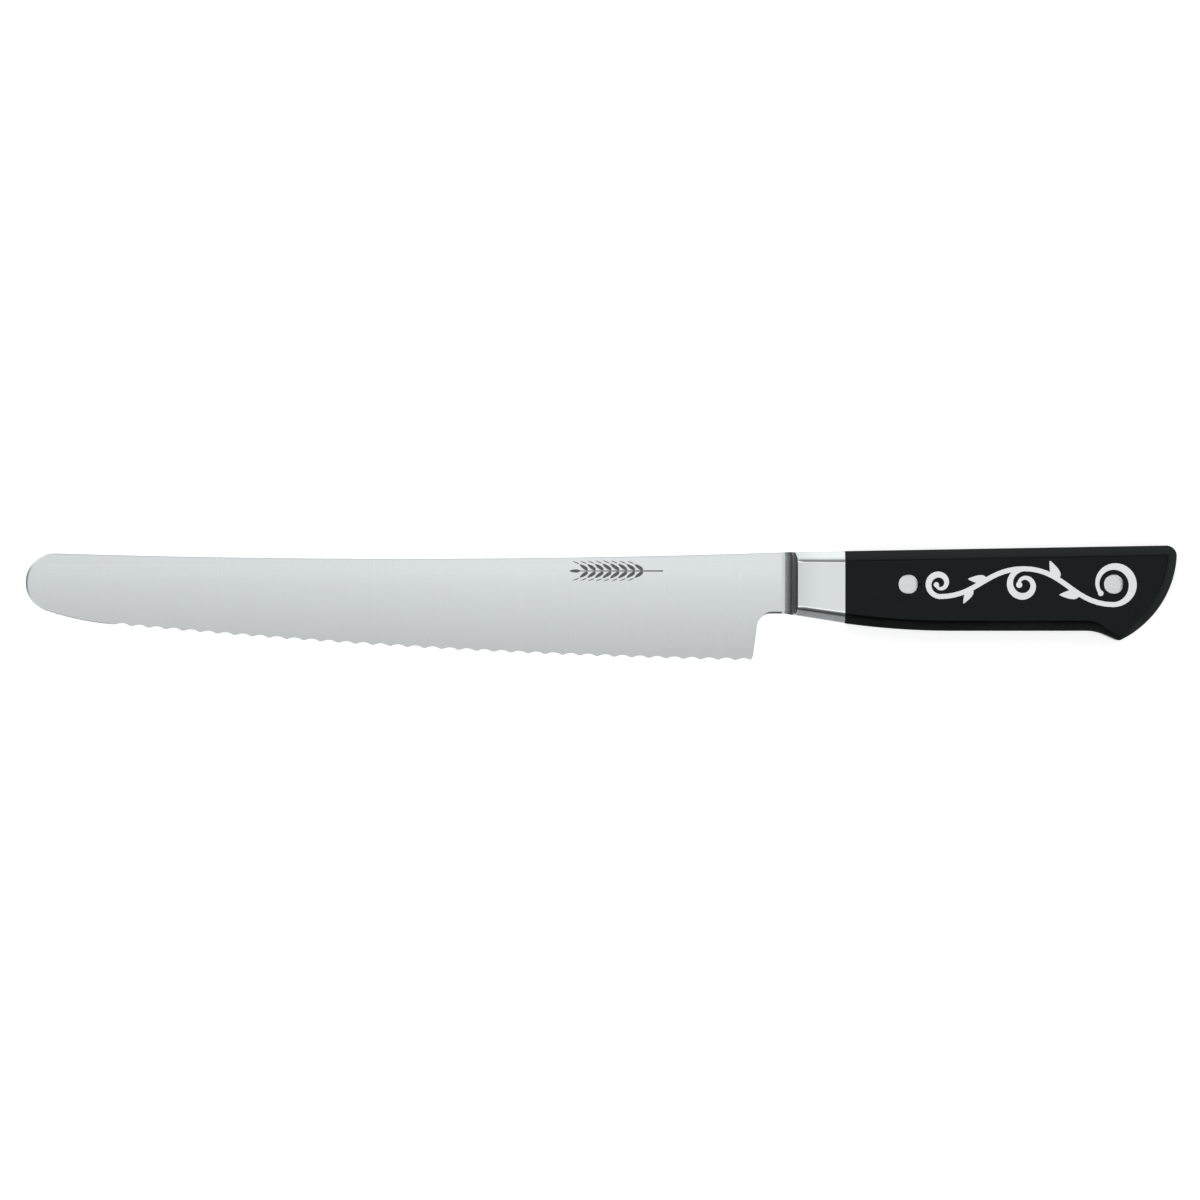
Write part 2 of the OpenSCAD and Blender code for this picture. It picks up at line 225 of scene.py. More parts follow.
def handle_rim():
    """Outline of the scales and tang, anticlockwise from the bottom of their front end."""
    back_run = Vector((1, BACK_SLOPE)).normalized()
    back_start = Vector((BOLSTER_START, back_y(BOLSTER_START)))
    butt = Vector((HANDLE_LEN - BUTT_R, spine_y(0) + BUTT_LIFT))
    corner = tucked_centre(back_start, back_run, Vector((back_run.y, -back_run.x)), butt, BUTT_R, CORNER_R)
    depth = butt.y + BEAK_DROP
    beak_point = butt + Vector((math.sqrt(BUTT_R ** 2 - depth ** 2), -depth))
    beak_run = Vector((math.cos(BEAK_ANGLE), -math.sin(BEAK_ANGLE)))
    beak = tucked_centre(beak_point, beak_run, Vector((-beak_run.y, beak_run.x)), butt, BUTT_R, BEAK_R)
    hollow_x = (beak_point.x - (BEAK_DROP - GRIP_DROP) / math.tan(BEAK_ANGLE)
                - HOLLOW_R * math.tan(BEAK_ANGLE / 2))
    swell_centre = Vector((SWELL_X, SWELL_R - GRIP_DROP))
    hollow_centre = Vector((hollow_x, -GRIP_DROP - HOLLOW_R))
    down = -math.pi / 2
    swell_from = down - math.asin((SWELL_X - BOLSTER_LEN - 1.5) / SWELL_R)
    to_beak = heading_to(butt, beak)
    to_corner = heading_to(butt, corner)
    back_up = math.pi / 2 + math.atan(BACK_SLOPE)
    # The arcs stop a little short of each other, so that no two points coincide
    rim = [(Vector((BOLSTER_LEN, swell_y(BOLSTER_LEN))), Vector((0, 1)))]
    rim += arc(swell_centre, SWELL_R, swell_from, down, 14)
    rim += line(Vector((SWELL_X, -GRIP_DROP)), Vector((hollow_x, -GRIP_DROP)), 12)[1:-1]
    rim += arc(hollow_centre, HOLLOW_R, -down, -down - BEAK_ANGLE, 10, hollow=True)
    rim += arc(beak, BEAK_R, down - BEAK_ANGLE, to_beak, 10)
    rim += arc(butt, BUTT_R, to_beak + 0.02, to_corner - 0.01, 44)
    rim += arc(corner, CORNER_R, to_corner + 0.05, back_up, 12)
    top_end = corner + Vector((math.cos(back_up), math.sin(back_up))) * CORNER_R
    rim += line(top_end, Vector((BOLSTER_LEN, back_y(BOLSTER_LEN))), 20)[1:-1]
    rim.append((Vector((BOLSTER_LEN, back_y(BOLSTER_LEN))), Vector((0, -1))))
    return rim, beak


handle_outline, beak_centre = handle_rim()


def bevel_at(point):
    """The bevel narrows towards the beak, where there is no room for its full width."""
    fade = 9.0
    return BEAK_BEVEL + (BEVEL - BEAK_BEVEL) * smooth((point - beak_centre).length / fade - 0.1)


def bezier(a, b, c, steps):
    """Points on the curve that rounds the corner b between a and c."""
    points = []
    for i in range(steps + 1):
        t = i / steps
        points.append(tuple((1 - t) ** 2 * p + 2 * t * (1 - t) * q + t * t * r for p, q, r in zip(a, b, c)))
    return points


def bevel_section(bevel, slope, face):
    """The softened bevel from the upright wall to the flat side: (distance in, depth below the side).

    slope and face are the shares of the bevel's width that its inner edge is rounded over, on the bevel
    and on the flat side. wall is the same for its outer edge, and steep is the bevel's height by its width.
    """
    wall = 0.08
    steep = 0.92
    outer = bezier((0, steep + wall), (0, steep), (wall, (1 - wall) * steep), 4)
    inner = bezier((1 - slope, slope * steep), (1, 0), (1 + face, 0), 10)
    return [(a * bevel, depth * bevel) for a, depth in outer + inner]


# ---- Mesh making ----


def new_object(name, coords, faces, crease=30):
    """A closed mesh from working-frame points, smooth but for the edges sharper than crease degrees."""
    mesh = bpy.data.meshes.new(name)
    mesh.from_pydata([place(*c) for c in coords], [], faces)
    bm = bmesh.new()
    bm.from_mesh(mesh)
    bmesh.ops.remove_doubles(bm, verts=bm.verts, dist=1e-7)
    bmesh.ops.dissolve_degenerate(bm, edges=bm.edges, dist=1e-7)
    bmesh.ops.recalc_face_normals(bm, faces=bm.faces)
    bm.to_mesh(mesh)
    bm.free()
    mesh.shade_smooth()
    mesh.set_sharp_from_angle(angle=math.radians(crease))
    obj = bpy.data.objects.new(name, mesh)
    bpy.context.scene.collection.objects.link(obj)
    return obj


def weighted(obj):
    """Keeps the large flats looking flat beside the narrow rounded edges."""
    modifier = obj.modifiers.new("flat_faces", "WEIGHTED_NORMAL")
    modifier.keep_sharp = True
    modifier.weight = 100


def loft(rings, closed=True):
    """Points and quads between rings of equal length."""
    count = len(rings[0])
    coords = [c for ring in rings for c in ring]
    faces = []
    for i in range(len(rings) - 1):
        for k in range(count if closed else count - 1):
            a = i * count + k
            b = i * count + (k + 1) % count
            faces.append((a, b, b + count, a + count))
    return coords, faces


def lathe(name, outline, x, y, flip=False, steps=64):
    """Turns a closed list of (radius, z) about an upright axis. flip mirrors it to the right side."""
    coords = []
    faces = []
    count = len(outline)
    for s in range(steps):
        a = 2 * math.pi * s / steps
        for r, z in outline:
            coords.append((x + r * math.cos(a), y + r * math.sin(a), -z if flip else z))
    for s in range(steps):
        n = (s + 1) % steps
        for k in range(count - 1):
            faces.append((s * count + k, s * count + k + 1, n * count + k + 1, n * count + k))
    return new_object(name, coords, faces)


def cut(obj, *cutters):
    """Subtracts the cutters from obj for good, and removes them."""
    for cutter in cutters:
        modifier = obj.modifiers.new("cut", "BOOLEAN")
        modifier.operation = "DIFFERENCE"
        modifier.solver = "EXACT"
        modifier.object = cutter
    bpy.context.view_layer.update()
    result = bpy.data.meshes.new_from_object(obj.evaluated_get(bpy.context.evaluated_depsgraph_get()))
    obj.modifiers.clear()
    obj.data = result
    result.shade_smooth()
    result.set_sharp_from_angle(angle=math.radians(30))
    for cutter in cutters:
        bpy.data.objects.remove(cutter)


def finish_piece(obj, material, slot, *nodes):
    """Gives a piece its material and body, and takes the place of the CAD nodes. slot is not used."""
    obj.data.materials.clear()
    obj.data.materials.append(material)
    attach(obj, "root")
    if nodes:
        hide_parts(*nodes)


# ---- Materials ----


def shader(name, color, metallic, roughness, specular=0.5, tint=(1, 1, 1)):
    """A new material with its nodes, links and main shader."""
    material = bpy.data.materials.new(name)
    material.use_nodes = True
    nodes = material.node_tree.nodes
    bsdf = nodes["Principled BSDF"]
    bsdf.inputs["Base Color"].default_value = (*color, 1)
    bsdf.inputs["Metallic"].default_value = metallic
    bsdf.inputs["Roughness"].default_value = roughness
    bsdf.inputs["Specular IOR Level"].default_value = specular
    bsdf.inputs["Specular Tint"].default_value = (*tint, 1)
    return material, nodes, material.node_tree.links, bsdf


def stretched_noise(nodes, links, scale, detail=4.0, roughness=0.6):
    """Noise in the object's own metres, stretched by a different scale along each axis."""
    where = nodes.new("ShaderNodeTexCoord")
    mapping = nodes.new("ShaderNodeMapping")
    mapping.inputs["Scale"].default_value = scale
    noise = nodes.new("ShaderNodeTexNoise")
    noise.inputs["Scale"].default_value = 1.0
    noise.inputs["Detail"].default_value = detail
    noise.inputs["Roughness"].default_value = roughness
    links.new(where.outputs["Object"], mapping.inputs["Vector"])
    links.new(mapping.outputs["Vector"], noise.inputs["Vector"])
    return noise.outputs["Fac"]


def ranged(nodes, links, value, low, high, start=0.3, end=0.7):
    """Maps value from start..end to low..high, and holds it there. The defaults suit a noise."""
    node = nodes.new("ShaderNodeMapRange")
    node.inputs["From Min"].default_value = start
    node.inputs["From Max"].default_value = end
    node.inputs["To Min"].default_value = low
    node.inputs["To Max"].default_value = high
    links.new(value, node.inputs["Value"])
    return node.outputs["Result"]


def blended(nodes, links, value, dark, light):
    """A colour between dark and light, chosen by value from 0 to 1."""
    mix = nodes.new("ShaderNodeMix")
    mix.data_type = "RGBA"
    mix.inputs["A"].default_value = (*dark, 1)
    mix.inputs["B"].default_value = (*light, 1)
    links.new(value, mix.inputs["Factor"])
    return mix.outputs["Result"]


def bumped(nodes, links, bsdf, height, distance):
    """Bumps the shader's surface by height, over distance in metres."""
    bump = nodes.new("ShaderNodeBump")
    bump.inputs["Distance"].default_value = distance
    links.new(height, bump.inputs["Height"])
    links.new(bump.outputs["Normal"], bsdf.inputs["Normal"])


def scaled(nodes, links, color, factor):
    """color times factor, both sockets."""
    scale = nodes.new("ShaderNodeVectorMath")
    scale.operation = "SCALE"
    links.new(color, scale.inputs[0])
    links.new(factor, scale.inputs["Scale"])
    return scale.outputs["Vector"]


def combined(nodes, links, operation, first, second):
    node = nodes.new("ShaderNodeMath")
    node.operation = operation
    links.new(first, node.inputs[0])
    links.new(second, node.inputs[1])
    return node.outputs[0]


def summed(nodes, links, first, second):
    return combined(nodes, links, "ADD", first, second)


def product(nodes, links, first, second):
    return combined(nodes, links, "MULTIPLY", first, second)


def object_axes(nodes, links, coordinates="Object"):
    """The x, y and z sockets of the object's own coordinates, or of another kind."""
    where = nodes.new("ShaderNodeTexCoord")
    split = nodes.new("ShaderNodeSeparateXYZ")
    links.new(where.outputs[coordinates], split.inputs["Vector"])
    return split.outputs


def ground_steel(name, dark, light, grain, roughness, depth):
    """Steel with fine grinding lines. grain is the noise scale along each axis, per metre."""
    material, nodes, links, bsdf = shader(name, light, 1.0, roughness)
    lines = stretched_noise(nodes, links, grain, detail=2.0)
    bands = stretched_noise(nodes, links, tuple(g / 14 for g in grain), detail=2.0)
    line_share = ranged(nodes, links, lines, 0.0, 0.5)
    band_share = ranged(nodes, links, bands, 0.0, 0.5)
    color = blended(nodes, links, summed(nodes, links, line_share, band_share), dark, light)
    links.new(color, bsdf.inputs["Base Color"])
    links.new(ranged(nodes, links, lines, roughness - 0.01, roughness + 0.01), bsdf.inputs["Roughness"])
    bumped(nodes, links, bsdf, lines, depth)
    return material, nodes, links, bsdf, color


def blade_steel():
    """Cross-ground steel with long streaks at the spine, with painted shade that darkens it towards the edge,
    and a little darker towards the nose.
    """
    material, nodes, links, bsdf, color = ground_steel(
        "blade_steel", (0.689, 0.724, 0.724), (0.697, 0.732, 0.732), (1300, 8, 8), 0.28, 0.00000015)
    x, y, _ = object_axes(nodes, links)
    # Painted shade: the colour falls off from the spine down to the edge.
    painted_shade_to_edge = ranged(nodes, links, y, 0.75, 1.02, place(0, -22, 0).y, place(0, 4, 0).y)
    streaks = ranged(nodes, links, stretched_noise(nodes, links, (5, 1100, 5), detail=3.0), 0.01, 0.05)
    near_spine = ranged(nodes, links, y, 0.0, 1.0, place(0, 0, 0).y, place(0, 6, 0).y)
    across = summed(nodes, links, painted_shade_to_edge, product(nodes, links, streaks, near_spine))
    along = ranged(nodes, links, x, 0.91, 1.0, place(-240, 0, 0).x, place(-90, 0, 0).x)
    links.new(scaled(nodes, links, color, product(nodes, links, across, along)), bsdf.inputs["Base Color"])
    return material


def black_plastic():
    """Smooth hard plastic, with a fine grain and slow changes of sheen from wear."""
    material, nodes, links, bsdf = shader(
        "black_plastic", (0.001, 0.0012, 0.0012), 0.0, 0.3, specular=0.17, tint=(0.85, 1, 1))
    grain = stretched_noise(nodes, links, (620, 620, 620), detail=2.0)
    wear = stretched_noise(nodes, links, (60, 90, 90), detail=5.0)
    worn = ranged(nodes, links, wear, 0.0, 1.0)
    color = blended(nodes, links, worn, (0.0008, 0.001, 0.001), (0.002, 0.0024, 0.0024))
    links.new(color, bsdf.inputs["Base Color"])
    links.new(ranged(nodes, links, wear, 0.22, 0.32), bsdf.inputs["Roughness"])
    bumped(nodes, links, bsdf, grain, 0.0000015)
    return material


def bolster_steel():
    """Smooth ground steel, with painted shade that darkens it towards the front lip."""
    material, nodes, links, bsdf, color = ground_steel(
        "bolster_steel", (0.645, 0.68, 0.68), (0.675, 0.705, 0.705), (900, 40, 60), 0.16, 0.0000002)
    x, _, _ = object_axes(nodes, links)
    # Painted shade: the colour darkens towards the front lip.
    fade = ranged(nodes, links, x, 0.87, 1.0, place(0, 0, 0).x, place(7, 0, 0).x)
    links.new(scaled(nodes, links, color, fade), bsdf.inputs["Base Color"])
    return material


def inlay_steel():
    return ground_steel(
        "inlay_steel", (0.72, 0.75, 0.75), (0.80, 0.82, 0.82), (60, 1100, 60), 0.26, 0.0000004)[0]


def rivet_steel():
    return ground_steel(
        "rivet_steel", (0.60, 0.63, 0.63), (0.68, 0.71, 0.71), (60, 1000, 60), 0.24, 0.0000004)[0]


def etched_grey():
    """The frosted dark surface that acid leaves."""
    material, nodes, links, bsdf = shader("etched_grey", (0.11, 0.12, 0.125), 0.4, 0.6)
    frost = stretched_noise(nodes, links, (1800, 1800, 1800), detail=3.0)
    frosted = ranged(nodes, links, frost, 0.0, 1.0)
    color = blended(nodes, links, frosted, (0.07, 0.08, 0.085), (0.20, 0.21, 0.215))
    links.new(color, bsdf.inputs["Base Color"])
    bumped(nodes, links, bsdf, frost, 0.000004)
    return material


BLADE_STEEL = blade_steel()
BOLSTER_STEEL = bolster_steel()
INLAY_STEEL = inlay_steel()
RIVET_STEEL = rivet_steel()
BLACK_PLASTIC = black_plastic()


# ---- Blade and tang ----


def rounded(inset, drop, half):
    """Profile over an edge from the left face to the right: (offset from the outline, height).

    The edge is rounded over inset across the face and over drop through the thickness.
    """
    left = []
    steps = 7
    for step in range(steps + 1):
        a = math.pi / 2 * step / steps
        left.append((inset * (1 - math.sin(a)), -drop * (1 - math.cos(a))))
    return [(o, half + z) for o, z in left] + [(o, -half - z) for o, z in reversed(left)]


def scallop_profile(s, half):
    """Profile of the edge at s from a scallop's middle. The hollow is ground from the right only."""
    ellipse = SCALLOP_WHEEL_R / math.sin(SCALLOP_ANGLE)
    sag = ellipse * (1 - math.sqrt(1 - (s / SCALLOP_WHEEL_R) ** 2))
    lift = max(SCALLOP_H - sag, 0.0)
    land = max(sag - SCALLOP_H, 0.0) * math.tan(SCALLOP_ANGLE) + 0.03
    ridge = SCALLOP_H - sag + 2 * half / math.tan(SCALLOP_ANGLE)
    start = (lift, half - land)
    end = (ridge, -half)
    steps = 12
    slope = [tuple(p + (q - p) * t / steps for p, q in zip(start, end)) for t in range(steps + 1)]
    return [(lift + 0.05, half), (lift + 0.01, half), (lift, half - 0.01)] + slope


def blade_outline():
    """(point, inward normal, profile) of the ground blade, anticlockwise from the spine's rear end."""
    step = SCALLOP_PITCH / EDGE_R
    heel_angle = math.asin((-HEEL_BACK - EDGE_LOW_X) / EDGE_R) - math.pi / 2
    first_cusp = heel_angle - step * SCALLOPS
    notch_x = -HEEL_BACK + NOTCH_R + (EDGE_DROP - NECK_DROP - NOTCH_R) * math.tan(HEEL_LEAN)
    notch = Vector((notch_x, -NECK_DROP - NOTCH_R))
    heel_top = notch + NOTCH_R * Vector((-math.cos(HEEL_LEAN), math.sin(HEEL_LEAN)))
    heel_foot = edge_centre + EDGE_R * Vector((math.cos(heel_angle), math.sin(heel_angle)))
    to_spine = heading_to(spine_centre, nose_centre)
    to_belly = heading_to(belly_centre, nose_centre)
    to_edge = heading_to(edge_centre, belly_centre)
    from_spine = heading_to(spine_centre, Vector((BOLSTER_START, 0)))
    tang_x = BOLSTER_LEN - 0.05
    back = Vector((tang_x, back_y(BOLSTER_LEN)))
    back_start = Vector((BOLSTER_START, back_y(BOLSTER_START)))
    underside = Vector((tang_x, underside_y(BOLSTER_LEN)))
    neck_start = Vector((notch.x, -NECK_DROP))
    neck_end = Vector((BOLSTER_START, -NECK_DROP))
    rows = []

    def add(pairs, inset, drop, more_inset=0.0, more_drop=0.0, share=None):
        """Adds rows with a rounded edge, made wider by the share that each row asks for."""
        for i, (point, inward) in enumerate(pairs):
            half = ground_z(point.x, point.y)
            extra = share(i, inward) if share else 0.0
            across = inset + more_inset * extra
            through = min(drop + more_drop * extra, 0.8 * half)
            rows.append((point, inward, rounded(across, through, half)))

    def towards_the_tip(i, inward):
        return max(inward.x, 0.0) ** 2

    def towards_the_neck(i, inward):
        return smooth((i - 4) / 8)

    # From the back of the bolster along the spine, round the nose and along the edge to the first scallop
    add(line(back, back_start, 4), 0.3, 0.3)
    add(arc(spine_centre, SPINE_R, from_spine, to_spine, 60, hollow=True)[1:], 0.3, 0.3)
    add(arc(nose_centre, NOSE_R, to_spine + math.pi, to_belly + 2 * math.pi, 48)[1:], 0.3, 0.25, 0.8, 0.15,
        towards_the_tip)
    add(arc(belly_centre, BELLY_R, to_belly, to_edge, 16)[1:], 0.3, 0.2)
    add(arc(edge_centre, EDGE_R, to_edge, first_cusp - step / 8, 4)[1:], 0.15, 0.15)

    # The scallops. The rows lie closer together at the cusps.
    for i in range(SCALLOPS):
        for share in (-0.5, -0.41, -0.28, -0.14, 0.0, 0.14, 0.28, 0.41):
            a = first_cusp + step * (i + 0.5 + share)
            out = Vector((math.cos(a), math.sin(a)))
            point = edge_centre + out * EDGE_R
            half = ground_z(point.x, point.y)
            rows.append((point, -out, scallop_profile(share * SCALLOP_PITCH, half)))

    # Up the heel, round the notch and along the neck, whose edge is well rounded, under the bolster
    add(line(heel_foot, heel_top, 8)[1:], 0.2, 0.2)
    add(arc(notch, NOTCH_R, math.pi - HEEL_LEAN, math.pi / 2, 12, hollow=True)[1:], 0.2, 0.2, 0.9, 0.6,
        towards_the_neck)
    add(line(neck_start, neck_end, 3)[1:], 1.1, 0.8)
    add(line(neck_end, underside, 4)[1:], 0.05, 0.05)
    return rows


def tang_outline():
    """(point, inward normal, profile) of the tang, which has the scales' outline."""
    return [(p, n, rounded(0.1, 0.1, HALF_STOCK)) for p, n in handle_outline]


def build_blade():
    ground = blade_outline()
    tang = tang_outline()
    rows = ground + tang
    rings = [[(p.x + n.x * o, p.y + n.y * o, z) for o, z in profile] for p, n, profile in rows]
    size = len(rings[0])
    coords, faces = loft(rings + [rings[0]], closed=False)
    # The repeated first ring is merged by new_object
    last_ground = len(ground) - 1
    last_tang = len(rows) - 1
    for k in (0, size - 1):
        faces.append([i * size + k for i in range(last_ground + 1)])
        faces.append([i * size + k for i in range(last_ground + 1, last_tang + 1)])
        faces.append([last_ground * size + k, (last_ground + 1) * size + k, last_tang * size + k, k])
    obj = new_object("blade_and_tang", coords, faces, crease=BLADE_CREASE)
    bore_r = BARREL_R + HOLE_PLAY
    reach = HALF_STOCK + 0.75
    bore = [(0, -reach), (bore_r, -reach), (bore_r, reach), (0, reach)]
    cut(obj, *[lathe("bore", bore, x, 0) for x in rivet_xs.values()])
    obj.data.set_sharp_from_angle(angle=math.radians(BLADE_CREASE))
    weighted(obj)
    return obj


# ---- Bolster ----


def bevel_width(x):
    return FRONT_BEVEL + (BEVEL - FRONT_BEVEL) * x / BOLSTER_LEN


def section_points():
    """Across one cheek from the back to the underside: (from which edge, distance from it, depth).

    Both lengths are in bevel widths. For a point on the flat it is the share of the flat's height.
    """
    half = bevel_section(1.0, 0.35, 0.3)
    flat = [("flat", 0.1 + 0.8 * i / 8, 0.0) for i in range(9)]
    return [("back", a, d) for a, d in half] + flat + [("under", a, d) for a, d in reversed(half)]


def section_y(point, x):
    edge, a, _ = point
    top = back_y(x)
    low = underside_y(x)
    bevel = bevel_width(x)
    if edge == "back":
        return top - a * bevel
    if edge == "under":
        return low + a * bevel
    return top - bevel - (top - low - 2 * bevel) * a


def cheek_row(point):
    """One line of the cheek from the blade up the flare, over the crest and back to the scale."""

    def surface_z(x):
        return side_z(x) - point[2] * bevel_width(x)

    foot = ground_z(-FLARE_R, section_y(point, -FLARE_R))
    rise = BOLSTER_HALF_T - foot
    # The flare ends where it meets the surface of the cheek, which a few rounds find well enough
    meet_x = 0.0
    for _ in range(6):
        climb = min(max((surface_z(meet_x) - foot) / rise, 0.0), 1.0)
        angle = math.acos(1 - climb)
        meet_x = FLARE_R * (math.sin(angle) - 1)
    flare_steps = 16
    xz = []
    for i in range(flare_steps):
        a = angle * i / flare_steps
        xz.append((FLARE_R * (math.sin(a) - 1), foot + rise * (1 - math.cos(a))))
    crest = (meet_x, surface_z(meet_x))
    last_x, last_z = xz[-1]
    lower = (crest[0] + (last_x - crest[0]) * 0.25, crest[1] + (last_z - crest[1]) * 0.25)
    after_x = crest[0] + 0.1
    xz += bezier(lower, crest, (after_x, surface_z(after_x)), 3)
    side_steps = 8
    for i in range(1, side_steps + 1):
        x = after_x + (BOLSTER_LEN - after_x) * i / side_steps
        xz.append((x, surface_z(x)))
    return [(x, section_y(point, x), z) for x, z in xz]


def build_bolster(name, side):
    """A closed cheek on the left (side 1) or the right (side -1) of the blade."""
    rows = [cheek_row(p) for p in section_points()]
    foot_top = [(x, back_y(x), ground_z(x, back_y(x))) for x, _, _ in rows[0]]
    foot_low = [(x, underside_y(x), ground_z(x, underside_y(x))) for x, _, _ in rows[-1]]
    rows = [foot_top] + rows + [foot_low]
    rows = [[(x, y, z * side) for x, y, z in row] for row in rows]
    length = len(rows[0])
    last = len(rows) - 1
    coords, faces = loft(rows, closed=False)
    base = list(range(length))
    base += [last * length + i for i in range(length - 1, -1, -1)]
    base += [m * length for m in range(last - 1, 0, -1)]
    faces.append(base)
    faces.append([m * length + length - 1 for m in range(last + 1)])
    obj = new_object(name, coords, faces, crease=25)
    weighted(obj)
    return obj


# ---- Scales, rivets and inlays ----


def scale_profile(bevel):
    """From the tang out to the flat side: (offset from the outline, height)."""
    tang_side = [(0.1, HALF_STOCK), (0.03, HALF_STOCK + 0.03), (0.0, HALF_STOCK + 0.1)]
    return tang_side + [(a, HALF_HANDLE - depth) for a, depth in bevel_section(bevel, 0.5, 0.09)]


def inlay_cutter(node, side):
    """The inlay's own shape, a little deeper and much taller, to cut its pocket."""
    bm = bmesh.new()
    bm.from_mesh(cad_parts[node].data)
    bmesh.ops.remove_doubles(bm, verts=bm.verts, dist=1e-6)
    bmesh.ops.recalc_face_normals(bm, faces=bm.faces)
    surface = origin.z + side * HALF_HANDLE * MM
    raise_by = side * 0.5 * MM
    sink_by = side * 0.02 * MM
    for vert in bm.verts:
        on_surface = abs(vert.co.z - surface) < 0.1 * MM
        vert.co.z += raise_by if on_surface else -sink_by
    mesh = bpy.data.meshes.new("pocket")
    bm.to_mesh(mesh)
    bm.free()
    obj = bpy.data.objects.new("pocket", mesh)
    bpy.context.scene.collection.objects.link(obj)
    return obj


def build_scale(name, side, inlay):
    """A closed scale with its seats, on the left (side 1) or the right (side -1) of the tang."""
    rings = []
    for point, inward in handle_outline:
        profile = scale_profile(bevel_at(point))
        rings.append([(point.x + inward.x * o, point.y + inward.y * o, side * z) for o, z in profile])
    size = len(rings[0])
    coords, faces = loft(rings + [rings[0]], closed=False)
    for k in (0, size - 1):
        faces.append([i * size + k for i in range(len(rings))])
    obj = new_object(name, coords, faces)
    seat_r = HEAD_R + SEAT_PLAY
    bore_r = BARREL_R + HOLE_PLAY
    floor_z = HALF_HANDLE - HEAD_T
    past_z = HALF_HANDLE + 1
    seat = [(0, 0), (bore_r, 0), (bore_r, floor_z), (seat_r, floor_z), (seat_r, past_z), (0, past_z)]
    seats = [lathe("seat", seat, x, 0, flip=side < 0) for x in rivet_xs.values()]
    cut(obj, inlay_cutter(inlay, side), *seats)
    weighted(obj)
    return obj


def head_outline():
    """A rivet's head from its middle out: almost flat, with a small rounded rim."""
    top = HALF_HANDLE
    return [(0, top), (HEAD_R * 0.6, top - 0.01), (HEAD_R - 0.28, top - 0.04), (HEAD_R - 0.1, top - 0.09),
            (HEAD_R - 0.02, top - 0.2), (HEAD_R, top - 0.35), (HEAD_R, top - HEAD_T)]


def build_socket(name, x):
    """The left half of a rivet: its head, and a hollow barrel that ends just above the post's head."""
    under_head = HALF_HANDLE - HEAD_T
    tip = BARREL_END_GAP - under_head
    barrel = [(BARREL_R, under_head), (BARREL_R, tip), (SHANK_R, tip), (SHANK_R, under_head), (0, under_head)]
    return lathe(name, head_outline() + barrel, x, 0)


def build_post(name, x):
    """The right half of a rivet, drawn as if on the left and flipped: its head, and a shank."""
    under_head = HALF_HANDLE - HEAD_T
    tip = SHANK_END_GAP - under_head
    shank = [(SHANK_R, under_head), (SHANK_R, tip), (0, tip)]
    return lathe(name, head_outline() + shank, x, 0, flip=True)


# ---- Etched ornament ----


def slab(polygon, coords, faces):
    """Adds a thin closed plate to coords and faces, lying on the blade's left face."""
    start = len(coords)
    count = len(polygon)
    for lift in (-ETCH_DEPTH, ETCH_RISE):
        coords += [(x, y, ground_z(x, y) + lift) for x, y in polygon]
    faces.append([start + i for i in range(count)])
    faces.append([start + count + i for i in range(count)])
    for i in range(count):
        n = (i + 1) % count
        faces.append((start + i, start + n, start + count + n, start + count + i))


def leaf_outline(x, y, angle, length, width):
    """A pointed grain, or an awn if it is narrow, from (x, y) along angle, in degrees."""
    run = Vector((math.cos(math.radians(angle)), math.sin(math.radians(angle))))
    side = Vector((-run.y, run.x))
    points = []
    steps = 16
    for i in range(steps):
        a = 2 * math.pi * i / steps
        along = (1 - math.cos(a)) / 2
        half = 0.5 * width * math.sin(a) * (1.25 - 0.6 * along)
        points.append(Vector((x, y)) + run * along * length + side * half)
    return points


def build_ear():
    """A plain ear of wheat: pairs of grains with their awns, a last grain and the stem."""
    coords = []
    faces = []
    lean = math.radians(GRAIN_LEAN)
    for i in range(GRAINS):
        x = EAR_FOOT_X - FIRST_GRAIN - GRAIN_STEP * i
        reach = 3.6 - 0.12 * abs(i - 3)
        for sign in (1, -1):
            slab(leaf_outline(x, EAR_Y + sign * 0.35, 180 - sign * GRAIN_LEAN, reach, 1.15), coords, faces)
            tip_x = x - reach * math.cos(lean) - 0.2
            tip_y = EAR_Y + sign * (0.55 + reach * math.sin(lean))
            slab(leaf_outline(tip_x, tip_y, 180 - sign * AWN_LEAN, 2.3, 0.32), coords, faces)
    last_x = EAR_FOOT_X - FIRST_GRAIN - GRAIN_STEP * GRAINS
    slab(leaf_outline(last_x, EAR_Y, 180, 3.4, 1.1), coords, faces)
    stem_end = EAR_FOOT_X - STEM_LEN
    stem = [(EAR_FOOT_X, -0.22), (EAR_FOOT_X, 0.22), (stem_end, 0.14), (stem_end, -0.14)]
    slab([Vector((x, EAR_Y + y)) for x, y in stem], coords, faces)
    return new_object("etched_ear", coords, faces)


# ---- The knife ----

blade = build_blade()
finish_piece(blade, BLADE_STEEL, "blade_steel", "blade")
for side_name, side in (("left", 1), ("right", -1)):
    bolster = build_bolster(f"{side_name}_cheek", side)
    finish_piece(bolster, BOLSTER_STEEL, "bolster_steel", f"{side_name}_bolster")
    scale = build_scale(f"{side_name}_grip", side, f"{side_name}_scroll_inlay")
    finish_piece(scale, BLACK_PLASTIC, "black_plastic", f"{side_name}_scale")
    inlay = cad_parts[f"{side_name}_scroll_inlay"]
    inlay.data.materials.clear()
    inlay.data.materials.append(INLAY_STEEL)
for end, x in rivet_xs.items():
    finish_piece(build_socket(f"{end}_socket", x), RIVET_STEEL, "rivet_steel", f"{end}_rivet_socket")
    finish_piece(build_post(f"{end}_post", x), RIVET_STEEL, "rivet_steel", f"{end}_rivet_post")
finish_piece(build_ear(), etched_grey(), "blade_steel")

# ---- Floor, light and camera ----


